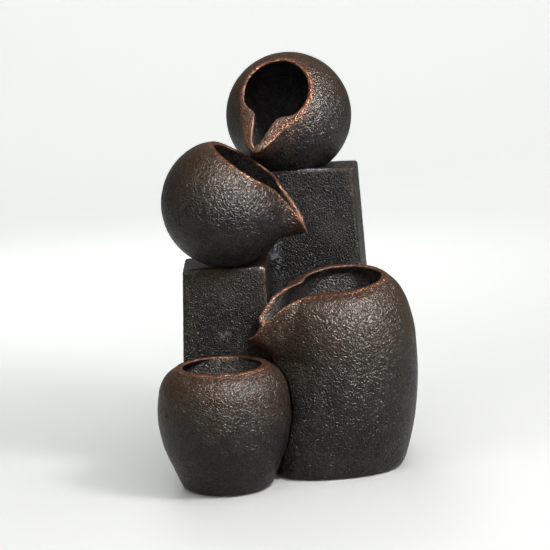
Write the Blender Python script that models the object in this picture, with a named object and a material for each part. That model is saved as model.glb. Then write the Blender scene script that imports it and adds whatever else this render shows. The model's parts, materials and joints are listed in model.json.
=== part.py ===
"""Tiered water fountain: two spouted orbs and two jars on a stepped pair of hollow pillars, with its pump and riser."""

import math

import bmesh
import bpy
from mathutils import Matrix, Vector

for _old in list(bpy.data.objects):
    bpy.data.objects.remove(_old, do_unlink=True)

# ---- driving dimensions, metres ----
GAP = 0.0003  # clearance between pieces that touch
WALL = 0.009  # cast wall of the vessels and the pillars
FLOOR = 0.010  # cast floor of the vessels
STAND = 0.002  # underside of the castings above the ground: they stand on the pads

TALL_TOP = 0.494  # top face of the tall pillar
TALL_X = (-0.079, 0.135)  # its front face at the top
TALL_Y = (0.095, 0.210)
SHORT_TOP = 0.3495
SHORT_X = (-0.1507, -0.0133)
SHORT_FRONT = -0.033
SIDE_DRAFT = math.radians(2.8)
FRONT_DRAFT = math.radians(1.5)
SPLAY = math.radians(4.0)  # the sides open towards the back
EDGE = 0.0045  # rounding of the pillars' edges

TOP_ORB_R = 0.108
TOP_ORB_SINK = 0.019  # how much of the sphere is cut away where it stands on its pillar
TOP_ORB = Vector((0.5 * sum(TALL_X), TALL_Y[1] - 0.055, TALL_TOP + TOP_ORB_R - TOP_ORB_SINK))
LEFT_ORB_R = 0.107
LEFT_ORB_SINK = 0.003
LEFT_ORB = Vector((0.5 * sum(SHORT_X) + 0.006, SHORT_FRONT + 0.031, SHORT_TOP + LEFT_ORB_R - LEFT_ORB_SINK))

TALL_JAR = Vector((0.110, 0.000, 0.0))
TALL_JAR_R = 0.122
TALL_JAR_H = 0.3185  # middle of the mouth
TALL_BEAK = math.radians(210.0)  # azimuth of the beak
SMALL_JAR = Vector((-0.087, -0.108, 0.0))
SMALL_JAR_R = 0.109
SMALL_JAR_H = 0.2010

HOSE_BORE = 0.0136
HOSE_WALL = 0.0019
BARB_R = HOSE_BORE / 2 - GAP
BARB_WALL = 0.002
RISER_X, RISER_Y = TOP_ORB.x, TALL_Y[1] - 0.060

PUMP_AXIS_Z = 0.033
RETURN_X, RETURN_Z, RETURN_R = SMALL_JAR.x + 0.037, 0.034, 0.009
RETURN_WALL = 0.002


# ---- materials ----
def material(name, colour, rough, metal=0.0):
    m = bpy.data.materials.new(name)
    m.use_nodes = True
    m.diffuse_color = (*colour, 1.0)
    shader = m.node_tree.nodes["Principled BSDF"]
    shader.inputs["Base Color"].default_value = (*colour, 1.0)
    shader.inputs["Roughness"].default_value = rough
    shader.inputs["Metallic"].default_value = metal
    return m


CAST = material("bronze_cast_stone", (0.055, 0.042, 0.034), 0.45)
PILLAR = material("bronze_cast_pillar", (0.048, 0.040, 0.034), 0.55)
PLASTIC = material("black_plastic", (0.025, 0.026, 0.028), 0.40)
RUBBER = material("black_rubber", (0.020, 0.020, 0.020), 0.80)
VINYL = material("smoke_vinyl", (0.10, 0.105, 0.11), 0.30)
STEEL = material("stainless_steel", (0.60, 0.60, 0.60), 0.25, 1.0)
CERAMIC = material("white_ceramic", (0.85, 0.84, 0.80), 0.20)
SPONGE = material("filter_sponge", (0.03, 0.035, 0.045), 0.95)


# ---- helpers ----
def table(rows, x):
    """A smooth curve through rows of (x, value, value...), which doesn't overshoot them."""
    if x <= rows[0][0]:
        return rows[0][1:]
    for k in range(len(rows) - 1):
        if x <= rows[k + 1][0]:
            break
    else:
        return rows[-1][1:]
    a, b = rows[k], rows[k + 1]
    width = b[0] - a[0]
    t = (x - a[0]) / width
    out = []
    for c in range(1, len(a)):
        here = (b[c] - a[c]) / width
        before = (a[c] - rows[k - 1][c]) / (a[0] - rows[k - 1][0]) if k else here
        after = (rows[k + 2][c] - b[c]) / (rows[k + 2][0] - b[0]) if k + 2 < len(rows) else here
        m0 = 0.0 if before * here <= 0 else 2 * before * here / (before + here)
        m1 = 0.0 if here * after <= 0 else 2 * here * after / (here + after)
        t2, t3 = t * t, t * t * t
        out.append(
            (2 * t3 - 3 * t2 + 1) * a[c]
            + (t3 - 2 * t2 + t) * width * m0
            + (3 * t2 - 2 * t3) * b[c]
            + (t3 - t2) * width * m1
        )
    return tuple(out)


def node(name, bm, mat, origin=(0, 0, 0), smooth=40):
    """Makes one object from a bmesh in world coordinates, with its origin at the given point."""
    origin = Vector(origin)
    bmesh.ops.translate(bm, verts=bm.verts, vec=-origin)
    bmesh.ops.recalc_face_normals(bm, faces=bm.faces)
    mesh = bpy.data.meshes.new(name)
    bm.to_mesh(mesh)
    bm.free()
    mesh.materials.append(mat)
    obj = bpy.data.objects.new(name, mesh)
    obj.location = origin
    bpy.context.scene.collection.objects.link(obj)
    if smooth:
        mesh.shade_smooth()
        mesh.set_sharp_from_angle(angle=math.radians(smooth))
    return obj


def join_rings(rings):
    """Skins rings of points, each a closed loop; a ring of one point is a pole."""
    bm = bmesh.new()
    rows = [[bm.verts.new(p) for p in ring] for ring in rings]
    for low, high in zip(rows, rows[1:]):
        count = max(len(low), len(high))
        for k in range(count):
            a, b = low[k % len(low)], low[(k + 1) % len(low)]
            c, d = high[(k + 1) % len(high)], high[k % len(high)]
            loop = [a] + [b] * (a is not b) + [c] + [d] * (c is not d)
            bm.faces.new(loop)
    return bm


def lathe(profile, segments, place=Matrix(), ring=False):
    """Turns a profile of (radius, height) about Z. A ring profile closes on itself and stays off the axis."""
    angles = [2 * math.pi * k / segments for k in range(segments)]
    rings = [
        [place @ Vector((r * math.cos(a), r * math.sin(a), h)) for a in (angles if r > 1e-9 else (0.0,))]
        for r, h in profile
    ]
    if not ring:
        return join_rings(rings)
    bm = join_rings(rings + [rings[0]])
    bmesh.ops.remove_doubles(bm, verts=bm.verts, dist=1e-7)
    return bm


def block(low, high, bevel=0.0, segments=2, taper=None):
    """A box between two corners. taper moves each corner: (x, y, z) -> Vector."""
    bm = bmesh.new()
    bmesh.ops.create_cube(bm, size=1.0)
    low, high = Vector(low), Vector(high)
    for v in bm.verts:
        v.co = Vector([low[k] if v.co[k] < 0 else high[k] for k in range(3)])
        if taper:
            v.co = taper(v.co)
    if bevel:
        bmesh.ops.bevel(
            bm, geom=bm.edges[:], offset=bevel, segments=segments, profile=0.5, affect="EDGES", clamp_overlap=True
        )
    return bm


def tube(path, outer, bore, segments):
    """A hollow hose along a path, with square ends."""
    path = [Vector(p) for p in path]
    frames = []
    side = Vector((1, 0, 0))
    for k, p in enumerate(path):
        along = (path[min(k + 1, len(path) - 1)] - path[max(k - 1, 0)]).normalized()
        side = (side - along * side.dot(along)).normalized()
        frames.append((p, side, along.cross(side)))

    def ring(frame, r):
        p, a, b = frame
        turn = [2 * math.pi * k / segments for k in range(segments)]
        return [p + a * (r * math.cos(t)) + b * (r * math.sin(t)) for t in turn]

    rings = [ring(f, outer) for f in frames] + [ring(f, bore) for f in reversed(frames)]
    bm = join_rings(rings + [rings[0]])
    bmesh.ops.remove_doubles(bm, verts=bm.verts, dist=1e-7)
    return bm


def boolean(obj, other, operation="DIFFERENCE"):
    """A Boolean with a hidden helper."""
    other.hide_render = True
    other.display_type = "WIRE"
    m = obj.modifiers.new(f"{operation.lower()}_{other.name}", "BOOLEAN")
    m.solver = "EXACT"
    m.operation = operation
    m.object = other
    return obj


def along_x(x=0.0, y=0.0, z=0.0):
    return Matrix.Translation((x, y, z)) @ Matrix.Rotation(math.pi / 2, 4, "Y")


def along_y(x=0.0, y=0.0, z=0.0):
    return Matrix.Translation((x, y, z)) @ Matrix.Rotation(-math.pi / 2, 4, "X")


def at(x, y, z=0.0):
    return Matrix.Translation((x, y, z))


def rod(radius, start, end):
    return [(0, start), (radius, start), (radius, end), (0, end)]


# ---- pillars' planes, which the vessels also meet ----
def tall_front(z):
    return TALL_Y[0] - (TALL_TOP - z) * math.tan(FRONT_DRAFT)


def tall_side(z, y, right):
    x = TALL_X[1] if right else TALL_X[0]
    out = (TALL_TOP - z) * math.tan(SIDE_DRAFT) + (y - TALL_Y[0]) * math.tan(SPLAY)
    return x + out if right else x - out


def short_front(z):
    return SHORT_FRONT - (SHORT_TOP - z) * math.tan(FRONT_DRAFT)


def short_side(z, y, right):
    x = SHORT_X[1] if right else SHORT_X[0]
    out = (SHORT_TOP - z) * math.tan(SIDE_DRAFT) + (y - SHORT_FRONT) * math.tan(SPLAY) * (0.0 if right else 1.0)
    return x + (out * 0.5 if right else -out)


def tall_corner(inset, rear_inset=None):
    def place(co):
        front = co.y < 0.5 * sum(TALL_Y)
        y = tall_front(co.z) + inset if front else TALL_Y[1] - (inset if rear_inset is None else rear_inset)
        right = co.x > 0.5 * sum(TALL_X)
        x = tall_side(co.z, y, right)
        return Vector((x - inset if right else x + inset, y, co.z))

    return place


def short_corner(inset):
    def place(co):
        front = co.y < 0.5 * (SHORT_FRONT + TALL_Y[0])
        y = short_front(co.z) + inset if front else tall_front(co.z) - 2 * GAP - inset
        right = co.x > 0.5 * sum(SHORT_X)
        x = short_side(co.z, y, right)
        return Vector((x - inset if right else x + inset, y, co.z))

    return place


# ---- vessels ----
def around(count, gather=1.5):
    """Angles round a vessel from the beak, gathered towards it."""
    half = count // 2
    values = [math.pi * (k / half) ** gather for k in range(half + 1)]
    return [-v for v in values[-2:0:-1]] + values


def pull(x, start, end, power):
    return 0.0 if x <= start else ((x - start) / (end - start)) ** power


def orb_meridian(radius, shell, rim, pole_to):
    """A point of a spouted orb: a sphere drawn out to a rim, in its own axes. shell scales the sphere."""

    def point(u, t):
        turn = abs(math.degrees(u))
        rho, rise = table(rim, turn)
        end, start, power = table(pole_to, turn)
        theta = math.radians(end) * t
        w = pull(math.degrees(theta), start, end, power)
        last = math.radians(end)
        r = shell * math.sin(theta) + w * (rho - shell * math.sin(last))
        h = -shell * math.cos(theta) + w * (rise + shell * math.cos(last))
        return Vector((r * math.cos(u), r * math.sin(u), h)) * radius

    return point


def orb(name, radius, centre, beak, normal, out_rim, in_rim, pole_to, cut, floor, back=None, count=44):
    """A hollow orb with a teardrop mouth. beak and normal are its directions; cut is the flat it stands on."""
    n = Vector(normal).normalized()
    b = Vector(beak)
    b = (b - n * b.dot(n)).normalized()
    axes = Matrix((b, n.cross(b), n)).transposed()
    shell = 1.0 - WALL / radius
    outer = orb_meridian(radius, 1.0, out_rim, pole_to)
    inner = orb_meridian(radius, shell, in_rim, pole_to)
    angles = around(count)
    limit = back or (lambda z: 1e9)

    def place(p, low, inset):
        q = centre + axes @ p
        q.z = max(q.z, low)
        q.y = min(q.y, limit(q.z) - inset)
        return q

    steps = (0.14, 0.28, 0.42, 0.54, 0.64, 0.73, 0.81, 0.88, 0.94, 1.0)
    rings = [[place(outer(0, 0), cut, GAP)]]
    rings += [[place(outer(u, t), cut, GAP) for u in angles] for t in steps]
    lip = 0.02 * radius
    rings.append([place(0.5 * (outer(u, 1) + inner(u, 1)) + Vector((0, 0, lip)), cut, GAP) for u in angles])
    inward = (1.0, 0.93, 0.85, 0.75, 0.62, 0.48, 0.32, 0.16)
    rings += [[place(inner(u, t), floor, GAP + WALL) for u in angles] for t in inward]
    rings.append([place(inner(0, 0), floor, GAP + WALL)])
    return node(name, join_rings(rings), CAST, centre, smooth=50)


def reach(origin, direction, z, gap):
    """How far a tall-jar point may go before it meets the small jar or a pillar."""
    far = 1.0
    # the small jar, a circle at this height
    r = small_radius(z) + gap
    to = Vector((SMALL_JAR.x - origin.x, SMALL_JAR.y - origin.y))
    mid = to.dot(direction)
    off = to.length_squared - mid * mid
    if mid > 0 and off < r * r:
        far = min(far, mid - math.sqrt(r * r - off))
    # the tall pillar's front face
    if direction.y > 1e-6:
        far = min(far, (tall_front(z) - GAP - gap * 0.2 - origin.y) / direction.y)
    # the short pillar: its right-hand face, then a line at 45 degrees forward from its corner
    if direction.x < -1e-6:
        corner_x = short_side(z, 0, True) + gap - origin.x
        corner_y = short_front(z) - gap - origin.y
        side = corner_x / direction.x
        if side * direction.y > corner_y:
            far = min(far, side)
        elif direction.y - direction.x > 1e-6:
            far = min(far, (corner_y - corner_x) / (direction.y - direction.x))
    return far


SMALL_PROFILE = [  # share of the way up, radius over the widest, height over the mouth's
    (0.00, 0.000, 0.000),
    (0.10, 0.350, 0.000),
    (0.24, 0.668, 0.000),
    (0.26, 0.685, 0.020),
    (0.40, 0.800, 0.170),
    (0.55, 0.945, 0.390),
    (0.68, 1.000, 0.600),
    (0.80, 0.965, 0.800),
    (0.90, 0.860, 0.930),
    (1.00, 0.700, 1.000),
]
TALL_PROFILE = [
    (0.00, 0.000, 0.000),
    (0.10, 0.400, 0.000),
    (0.18, 0.720, 0.000),
    (0.23, 0.765, 0.018),
    (0.36, 0.865, 0.130),
    (0.50, 0.962, 0.320),
    (0.63, 1.000, 0.520),
    (0.75, 0.985, 0.700),
    (0.86, 0.905, 0.855),
    (0.94, 0.780, 0.955),
    (1.00, 0.640, 1.000),
]


def small_radius(z):
    share = (z - STAND) / (SMALL_JAR_H - STAND)
    return SMALL_JAR_R * table([(h, r) for _, r, h in SMALL_PROFILE[3:]], share)[0]


def small_jar():
    angles = [2 * math.pi * k / 44 for k in range(44)]

    def place(t, a, wall):
        r, h = table(SMALL_PROFILE, t)
        z = STAND + h * (SMALL_JAR_H - STAND)
        radius = SMALL_JAR_R * r
        if wall:
            radius = max(0.0, radius - wall * (1.3 if t > 0.95 else 1.0))
            z = max(z, STAND + FLOOR)
        if math.sin(a) > 1e-6:
            radius = min(radius, (short_front(z) - 2 * GAP - wall - SMALL_JAR.y) / math.sin(a))
        if t < 0.26:
            radius *= t / 0.26
        return SMALL_JAR + Vector((radius * math.cos(a), radius * math.sin(a), z))

    steps = (0.24, 0.26, 0.33, 0.40, 0.48, 0.55, 0.62, 0.68, 0.74, 0.80, 0.85, 0.90, 0.95, 1.0)
    rings = [[place(0, 0, 0)]] + [[place(t, a, 0) for a in angles] for t in steps]
    top = [0.5 * (place(1.0, a, 0) + place(1.0, a, WALL)) + Vector((0, 0, 0.0018)) for a in angles]
    rings.append(top)
    rings += [[place(t, a, WALL) for a in angles] for t in (1.0, 0.95, 0.88, 0.80, 0.68, 0.55, 0.42, 0.31, 0.18)]
    rings.append([place(0, 0, WALL)])
    return node("small_jar", join_rings(rings), CAST, SMALL_JAR, smooth=50)


TALL_RIM = [  # degrees from the beak, radius, height below the middle of the mouth, metres
    (0, 0.1790, 0.0805),
    (3, 0.1730, 0.0750),
    (7, 0.1560, 0.0500),
    (13, 0.1270, 0.0140),
    (21, 0.1010, 0.0020),
    (32, 0.0890, 0.0000),
    (48, 0.0825, 0.0000),
    (70, 0.0785, 0.0000),
    (180, 0.0765, 0.0040),
]
TALL_INNER = [
    (0, 0.1710, 0.0785),
    (3, 0.1630, 0.0715),
    (7, 0.1440, 0.0450),
    (13, 0.1130, 0.0100),
    (21, 0.0860, 0.0005),
    (28, 0.0730, 0.0000),
    (36, 0.0640, 0.0000),
    (46, 0.0640, 0.0000),
    (60, 0.0665, 0.0000),
    (180, 0.0675, 0.0040),
]
TALL_END = [  # degrees from the beak, share of the profile the pull ends at, where it starts, its power
    (0, 0.795, 0.60, 2.6),
    (7, 0.840, 0.60, 2.5),
    (13, 0.900, 0.61, 2.3),
    (21, 0.960, 0.62, 2.2),
    (32, 1.000, 0.65, 2.0),
    (180, 1.000, 0.80, 2.0),
]
MOUTH_SLOPE = (0.08, 0.165)  # rise of the mouth towards +X and +Y
SKIRT = 0.045  # the foot swells under the beak, to meet the small jar
FACET = 1.32 * TALL_JAR_R**3  # clearance from its neighbours, which covers the bulge of its facets


def tall_point(u, t, wall):
    turn = abs(math.degrees(u))
    end, start, power = table(TALL_END, turn)
    s = end * t
    r, h = table(TALL_PROFILE, s)
    last_r, last_h = table(TALL_PROFILE, end)
    rise = TALL_JAR_H - STAND
    psi = TALL_BEAK + u
    direction = Vector((math.cos(psi), math.sin(psi)))
    swell = SKIRT * math.exp(-((turn / 42.0) ** 2)) * max(0.0, 1 - h / 0.62) ** 0.8 * min(1.0, r / 0.5)
    radius = TALL_JAR_R * r + swell
    z = STAND + rise * h
    rho, drop = table(TALL_INNER if wall else TALL_RIM, turn)
    rim_z = TALL_JAR_H - drop + rho * (MOUTH_SLOPE[0] * direction.x + MOUTH_SLOPE[1] * direction.y) * (
        1 - min(1.0, drop / 0.06)
    )
    w = pull(s, start, end, power)
    if wall:
        radius = max(0.0, radius - wall)
        z = max(z, STAND + FLOOR)
        last = TALL_JAR_R * last_r - wall
    else:
        last = TALL_JAR_R * last_r
    radius += w * (rho - last)
    z += w * (rim_z - (STAND + rise * last_h))
    if radius > 0.02 and (w < 0.2 or u < 0):
        radius = min(radius, reach(TALL_JAR, direction, z, FACET) - wall)
    return TALL_JAR + Vector((radius * direction.x, radius * direction.y, z))


def tall_jar():
    corner = math.atan2(SHORT_FRONT - 0.005 - TALL_JAR.y, SHORT_X[1] + 0.003 - TALL_JAR.x)
    corner = corner % (2 * math.pi) - TALL_BEAK
    angles = sorted(around(50, 1.35) + [corner, corner - 0.03])
    steps = (0.18, 0.24, 0.32, 0.40, 0.48, 0.56, 0.64, 0.71, 0.77, 0.82, 0.87, 0.915, 0.96, 1.0)
    rings = [[tall_point(0, 0, 0)]] + [[tall_point(u, t, 0) for u in angles] for t in steps]
    rings.append([0.5 * (tall_point(u, 1, 0) + tall_point(u, 1, WALL)) + Vector((0, 0, 0.0018)) for u in angles])
    inward = (1.0, 0.95, 0.90, 0.84, 0.76, 0.66, 0.54, 0.42, 0.30, 0.18)
    rings += [[tall_point(u, t, WALL) for u in angles] for t in inward]
    rings.append([tall_point(0, 0, WALL)])
    return node("tall_jar", join_rings(rings), CAST, TALL_JAR, smooth=50)


TOP_RIM = [  # degrees from the beak, distance from the mouth's axis, height along it, over the radius
    (0, 1.030, 0.905),
    (4, 1.005, 0.905),
    (9, 0.950, 0.900),
    (17, 0.830, 0.890),
    (31, 0.670, 0.865),
    (50, 0.590, 0.830),
    (75, 0.570, 0.800),
    (110, 0.600, 0.785),
    (180, 0.655, 0.765),
]
TOP_INNER = [
    (0, 0.945, 0.915),
    (4, 0.900, 0.915),
    (9, 0.800, 0.910),
    (17, 0.630, 0.900),
    (28, 0.490, 0.875),
    (38, 0.440, 0.855),
    (50, 0.450, 0.830),
    (62, 0.480, 0.815),
    (75, 0.490, 0.800),
    (110, 0.525, 0.785),
    (180, 0.585, 0.765),
]
TOP_END = [  # degrees from the beak, polar angle the sphere ends at, where the pull starts, its power
    (0, 128, 94, 2.0),
    (30, 134, 100, 2.0),
    (60, 141, 108, 2.0),
    (100, 143, 118, 2.0),
    (180, 139.5, 120, 2.0),
]
LEFT_RIM = [
    (0, 1.285, 0.410),
    (3, 1.240, 0.445),
    (7, 1.170, 0.490),
    (13, 1.030, 0.560),
    (22, 0.780, 0.640),
    (38, 0.640, 0.690),
    (60, 0.650, 0.700),
    (90, 0.720, 0.675),
    (130, 0.745, 0.640),
    (180, 0.765, 0.610),
]
LEFT_INNER = [
    (0, 1.200, 0.430),
    (3, 1.150, 0.460),
    (7, 1.070, 0.505),
    (13, 0.920, 0.570),
    (22, 0.670, 0.645),
    (30, 0.550, 0.675),
    (38, 0.530, 0.690),
    (50, 0.560, 0.700),
    (90, 0.635, 0.675),
    (130, 0.660, 0.640),
    (180, 0.680, 0.610),
]
LEFT_END = [
    (0, 111, 84, 2.6),
    (7, 115, 87, 2.4),
    (13, 120, 91, 2.2),
    (22, 128, 94, 2.1),
    (38, 136, 104, 2.0),
    (60, 137, 110, 2.0),
    (90, 133, 112, 2.0),
    (180, 128.6, 112, 2.0),
]

top_orb = orb(
    "top_orb", TOP_ORB_R, TOP_ORB, (-0.33, -0.37, -0.87), (-0.21, -0.86, 0.46),
    TOP_RIM, TOP_INNER, TOP_END, TALL_TOP + GAP, TALL_TOP + GAP + FLOOR,
)
left_orb = orb(
    "left_orb", LEFT_ORB_R, LEFT_ORB, (0.766, -0.03, -0.640), (0.640, -0.06, 0.766),
    LEFT_RIM, LEFT_INNER, LEFT_END, SHORT_TOP + GAP, SHORT_TOP + GAP + FLOOR, back=tall_front,
)
jar_tall = tall_jar()
jar_small = small_jar()

# ---- pillars ----
tall_pillar = node(
    "tall_pillar",
    block((-1, TALL_Y[0], STAND), (1, TALL_Y[1], TALL_TOP), EDGE, 3, tall_corner(0.0)),
    PILLAR, (RISER_X, RISER_Y, 0), smooth=30,
)
tall_hollow = node(
    "cut_tall_hollow",
    block((-1, TALL_Y[0], STAND - 0.02), (1, TALL_Y[1], TALL_TOP - WALL), 0, 1, tall_corner(WALL)), PILLAR, smooth=0,
)
boolean(tall_pillar, tall_hollow)
short_pillar = node(
    "short_pillar",
    block((-1, SHORT_FRONT, STAND), (1, TALL_Y[0] - 0.01, SHORT_TOP), EDGE, 3, short_corner(0.0)),
    PILLAR, (LEFT_ORB.x, LEFT_ORB.y, 0), smooth=30,
)
short_hollow = node(
    "cut_short_hollow",
    block((-1, SHORT_FRONT, STAND - 0.02), (1, TALL_Y[0] - 0.01, SHORT_TOP - WALL), 0, 1, short_corner(WALL)),
    PILLAR, smooth=0,
)
boolean(short_pillar, short_hollow)

# ---- rear access door, in a rebate of the tall pillar's back ----
DOOR_X, DOOR_Z = RISER_X, (0.052, 0.182)
DOOR_W = 0.120
LEDGE = 0.010
REBATE = 0.0055
door_low = (DOOR_X - DOOR_W / 2, TALL_Y[1] - 2 * WALL, DOOR_Z[0])
door_high = (DOOR_X + DOOR_W / 2, TALL_Y[1] + 0.01, DOOR_Z[1])
boolean(tall_pillar, node("cut_door", block(door_low, door_high), PILLAR, smooth=0))
rebate_low = (door_low[0] - LEDGE, TALL_Y[1] - REBATE, DOOR_Z[0] - LEDGE)
rebate_high = (door_high[0] + LEDGE, TALL_Y[1] + 0.01, DOOR_Z[1] + LEDGE)
boolean(tall_pillar, node("cut_rebate", block(rebate_low, rebate_high), PILLAR, smooth=0))
DOOR_FACE = TALL_Y[1] - 0.0002
door = node(
    "access_door",
    block(
        (rebate_low[0] + 2 * GAP, TALL_Y[1] - REBATE + GAP, rebate_low[2] + 2 * GAP),
        (rebate_high[0] - 2 * GAP, DOOR_FACE, rebate_high[2] - 2 * GAP), 0.0008, 1,
    ),
    PILLAR, (DOOR_X, TALL_Y[1], DOOR_Z[0]), smooth=0,
)
finger = node(
    "cut_finger",
    lathe(rod(0.011, -0.0018, 0.02), 24, along_y(DOOR_X, DOOR_FACE, DOOR_Z[1] - 0.014)), PLASTIC, smooth=0,
)
boolean(door, finger)
SCREW_R, SCREW_HOLE, SCREW_HEAD = 0.0020, 0.0023, 0.0046
number = 0
for sx in (-1, 1):
    for z in (DOOR_Z[0] - LEDGE / 2, DOOR_Z[1] + LEDGE / 2):
        number += 1
        x = DOOR_X + sx * (DOOR_W + LEDGE) / 2
        hole = node(
            f"cut_screw_{number}", lathe(rod(SCREW_HOLE, -0.02, 0.02), 20, along_y(x, TALL_Y[1], z)), STEEL, smooth=0
        )
        boolean(tall_pillar, hole)
        boolean(door, hole)
        screw = node(
            f"door_screw_{number}",
            lathe(
                [(0, -0.0085), (SCREW_R, -0.0085), (SCREW_R, GAP), (SCREW_HEAD, GAP), (SCREW_HEAD, 0.0022),
                 (SCREW_HEAD - 0.0006, 0.0028), (0, 0.0028)], 20, along_y(x, DOOR_FACE, z),
            ),
            STEEL, (x, DOOR_FACE, z),
        )
        slot = node(
            f"cut_slot_{number}",
            block((x - 0.01, DOOR_FACE + 0.0018, z - 0.0006), (x + 0.01, DOOR_FACE + 0.01, z + 0.0006)), STEEL, smooth=0,
        )
        boolean(screw, slot)

# ---- sump tray, return pipe, drain ----
TRAY_WALL = 0.003
TRAY_TOP = 0.048
TRAY_FLOOR = STAND + 0.004
tray_x = (tall_side(TRAY_TOP, TALL_Y[0], False) + WALL + 0.003, tall_side(TRAY_TOP, TALL_Y[0], True) - WALL - 0.003)
tray_y = (tall_front(TRAY_TOP) + WALL + 0.0015, TALL_Y[1] - WALL - 0.0015)
tray = node(
    "sump_tray", block((tray_x[0], tray_y[0], STAND), (tray_x[1], tray_y[1], TRAY_TOP), 0.002, 1), PLASTIC,
    (RISER_X, RISER_Y, 0), smooth=0,
)
basin = node(
    "cut_basin",
    block(
        (tray_x[0] + TRAY_WALL, tray_y[0] + TRAY_WALL, TRAY_FLOOR),
        (tray_x[1] - TRAY_WALL, tray_y[1] - TRAY_WALL, TRAY_TOP + 0.02),
    ),
    PLASTIC, smooth=0,
)
boolean(tray, basin)
pipe_end = tray_y[0] + TRAY_WALL + 0.012
pipe_start = short_front(RETURN_Z) - WALL - 0.004
pipe_cut = node(
    "cut_return",
    lathe(rod(RETURN_R + GAP, pipe_start - 0.01, pipe_end - 0.005), 24, along_y(RETURN_X, 0, RETURN_Z)), PLASTIC,
    smooth=0,
)
for wall in (jar_small, short_pillar, tall_pillar, tray):
    boolean(wall, pipe_cut)
node(
    "return_pipe",
    lathe(
        [(RETURN_R, pipe_start), (RETURN_R, pipe_end), (RETURN_R - RETURN_WALL, pipe_end),
         (RETURN_R - RETURN_WALL, pipe_start)], 24, along_y(RETURN_X, 0, RETURN_Z), ring=True,
    ),
    PLASTIC, (RETURN_X, 0, RETURN_Z),
)
DRAIN_X, DRAIN_Z, DRAIN_R = tray_x[1] - 0.0198, 0.026, 0.007
DRAIN_FLANGE = DRAIN_R + 0.0045
DRAIN_IN = WALL + 0.010  # it passes the pillar's wall and the tray's
drain_cut = node(
    "cut_drain", lathe(rod(DRAIN_R + GAP, -0.03, 0.02), 24, along_y(DRAIN_X, TALL_Y[1], DRAIN_Z)), PLASTIC, smooth=0
)
boolean(tall_pillar, drain_cut)
boolean(tray, drain_cut)
node(
    "drain_plug",
    lathe(
        [(0, -DRAIN_IN), (DRAIN_R - 0.001, -DRAIN_IN), (DRAIN_R, 0.003 - DRAIN_IN), (DRAIN_R, GAP),
         (DRAIN_FLANGE, GAP), (DRAIN_FLANGE, 0.0028), (DRAIN_FLANGE - 0.0015, 0.0036), (0.0040, 0.0036),
         (0.0040, 0.0075), (0, 0.0075)], 24, along_y(DRAIN_X, TALL_Y[1], DRAIN_Z),
    ),
    RUBBER, (DRAIN_X, TALL_Y[1], DRAIN_Z),
)
GLAND_Z, GLAND_R, CORD_R = 0.080, 0.008, 0.004
GLAND_FLANGE = GLAND_R + 0.0035
GLAND_X = rebate_low[0] - GLAND_FLANGE - 0.0085
boolean(
    tall_pillar,
    node(
        "cut_gland", lathe(rod(GLAND_R + GAP, -0.03, 0.02), 24, along_y(GLAND_X, TALL_Y[1], GLAND_Z)), RUBBER, smooth=0
    ),
)
node(
    "cord_grommet",
    lathe(
        [(CORD_R, -WALL - 0.002), (GLAND_R, -WALL - 0.002), (GLAND_R, GAP), (GLAND_FLANGE, GAP),
         (GLAND_FLANGE, 0.002), (GLAND_FLANGE - 0.0015, 0.003), (CORD_R, 0.003)], 24,
        along_y(GLAND_X, TALL_Y[1], GLAND_Z), ring=True,
    ),
    RUBBER, (GLAND_X, TALL_Y[1], GLAND_Z),
)

# ---- pump: motor body, volute, rotor, intake ----
PX, PY, PZ = RISER_X, RISER_Y, PUMP_AXIS_Z
NOZZLE_R, NOZZLE_BORE = BARB_R + 0.0005, BARB_R - BARB_WALL
BODY_FRONT = PX - NOZZLE_R - 0.001
ROTOR_X = BODY_FRONT + 0.008  # front of the rotor's disc
BODY_BACK = ROTOR_X + 0.052
BODY_TOP, BODY_LOW = PZ + 0.021, PZ - 0.021
CHAMBER_R, CHAMBER_END = 0.0140, ROTOR_X + 0.006
WELL_R, WELL_END = 0.0095, ROTOR_X + 0.034
SHAFT_R = 0.0015
DISC_R, MAGNET_R = CHAMBER_R - 0.0035, WELL_R - 0.0007
body = node(
    "pump_housing", block((BODY_FRONT, PY - 0.021, BODY_LOW), (BODY_BACK, PY + 0.021, BODY_TOP), 0.004, 2), PLASTIC,
    (PX, PY, PZ), smooth=30,
)
chamber = node(
    "cut_chamber",
    lathe(
        [(0, BODY_FRONT - 0.02), (CHAMBER_R, BODY_FRONT - 0.02), (CHAMBER_R, CHAMBER_END), (WELL_R, CHAMBER_END),
         (WELL_R, WELL_END), (SHAFT_R + GAP, WELL_END), (SHAFT_R + GAP, WELL_END + 0.005), (0, WELL_END + 0.005)],
        28, along_x(0, PY, PZ),
    ),
    PLASTIC, smooth=0,
)
boolean(body, chamber)
port = node(
    "cut_port",
    lathe(
        [(0, PZ), (NOZZLE_BORE, PZ), (NOZZLE_BORE, BODY_TOP - 0.006), (NOZZLE_R + GAP, BODY_TOP - 0.006),
         (NOZZLE_R + GAP, BODY_TOP + 0.01), (0, BODY_TOP + 0.01)], 24, at(PX, PY),
    ),
    PLASTIC, smooth=0,
)
boolean(body, port)
COVER_FACE = BODY_FRONT - GAP
COVER_T = 0.0030
INTAKE_R = 0.0055
cover = node(
    "volute_cover",
    lathe(
        [(INTAKE_R, COVER_FACE - COVER_T), (0.0185, COVER_FACE - COVER_T), (0.0185, COVER_FACE),
         (CHAMBER_R - GAP, COVER_FACE), (CHAMBER_R - GAP, COVER_FACE + 0.002), (0.0115, COVER_FACE + 0.002),
         (0.0115, COVER_FACE), (INTAKE_R, COVER_FACE)], 32, along_x(0, PY, PZ), ring=True,
    ),
    PLASTIC, (PX, PY, PZ),
)
node("impeller_shaft", lathe(rod(SHAFT_R, COVER_FACE + 0.0024, WELL_END + 0.0045), 16, along_x(0, PY, PZ)), CERAMIC,
     (PX, PY, PZ))
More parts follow.
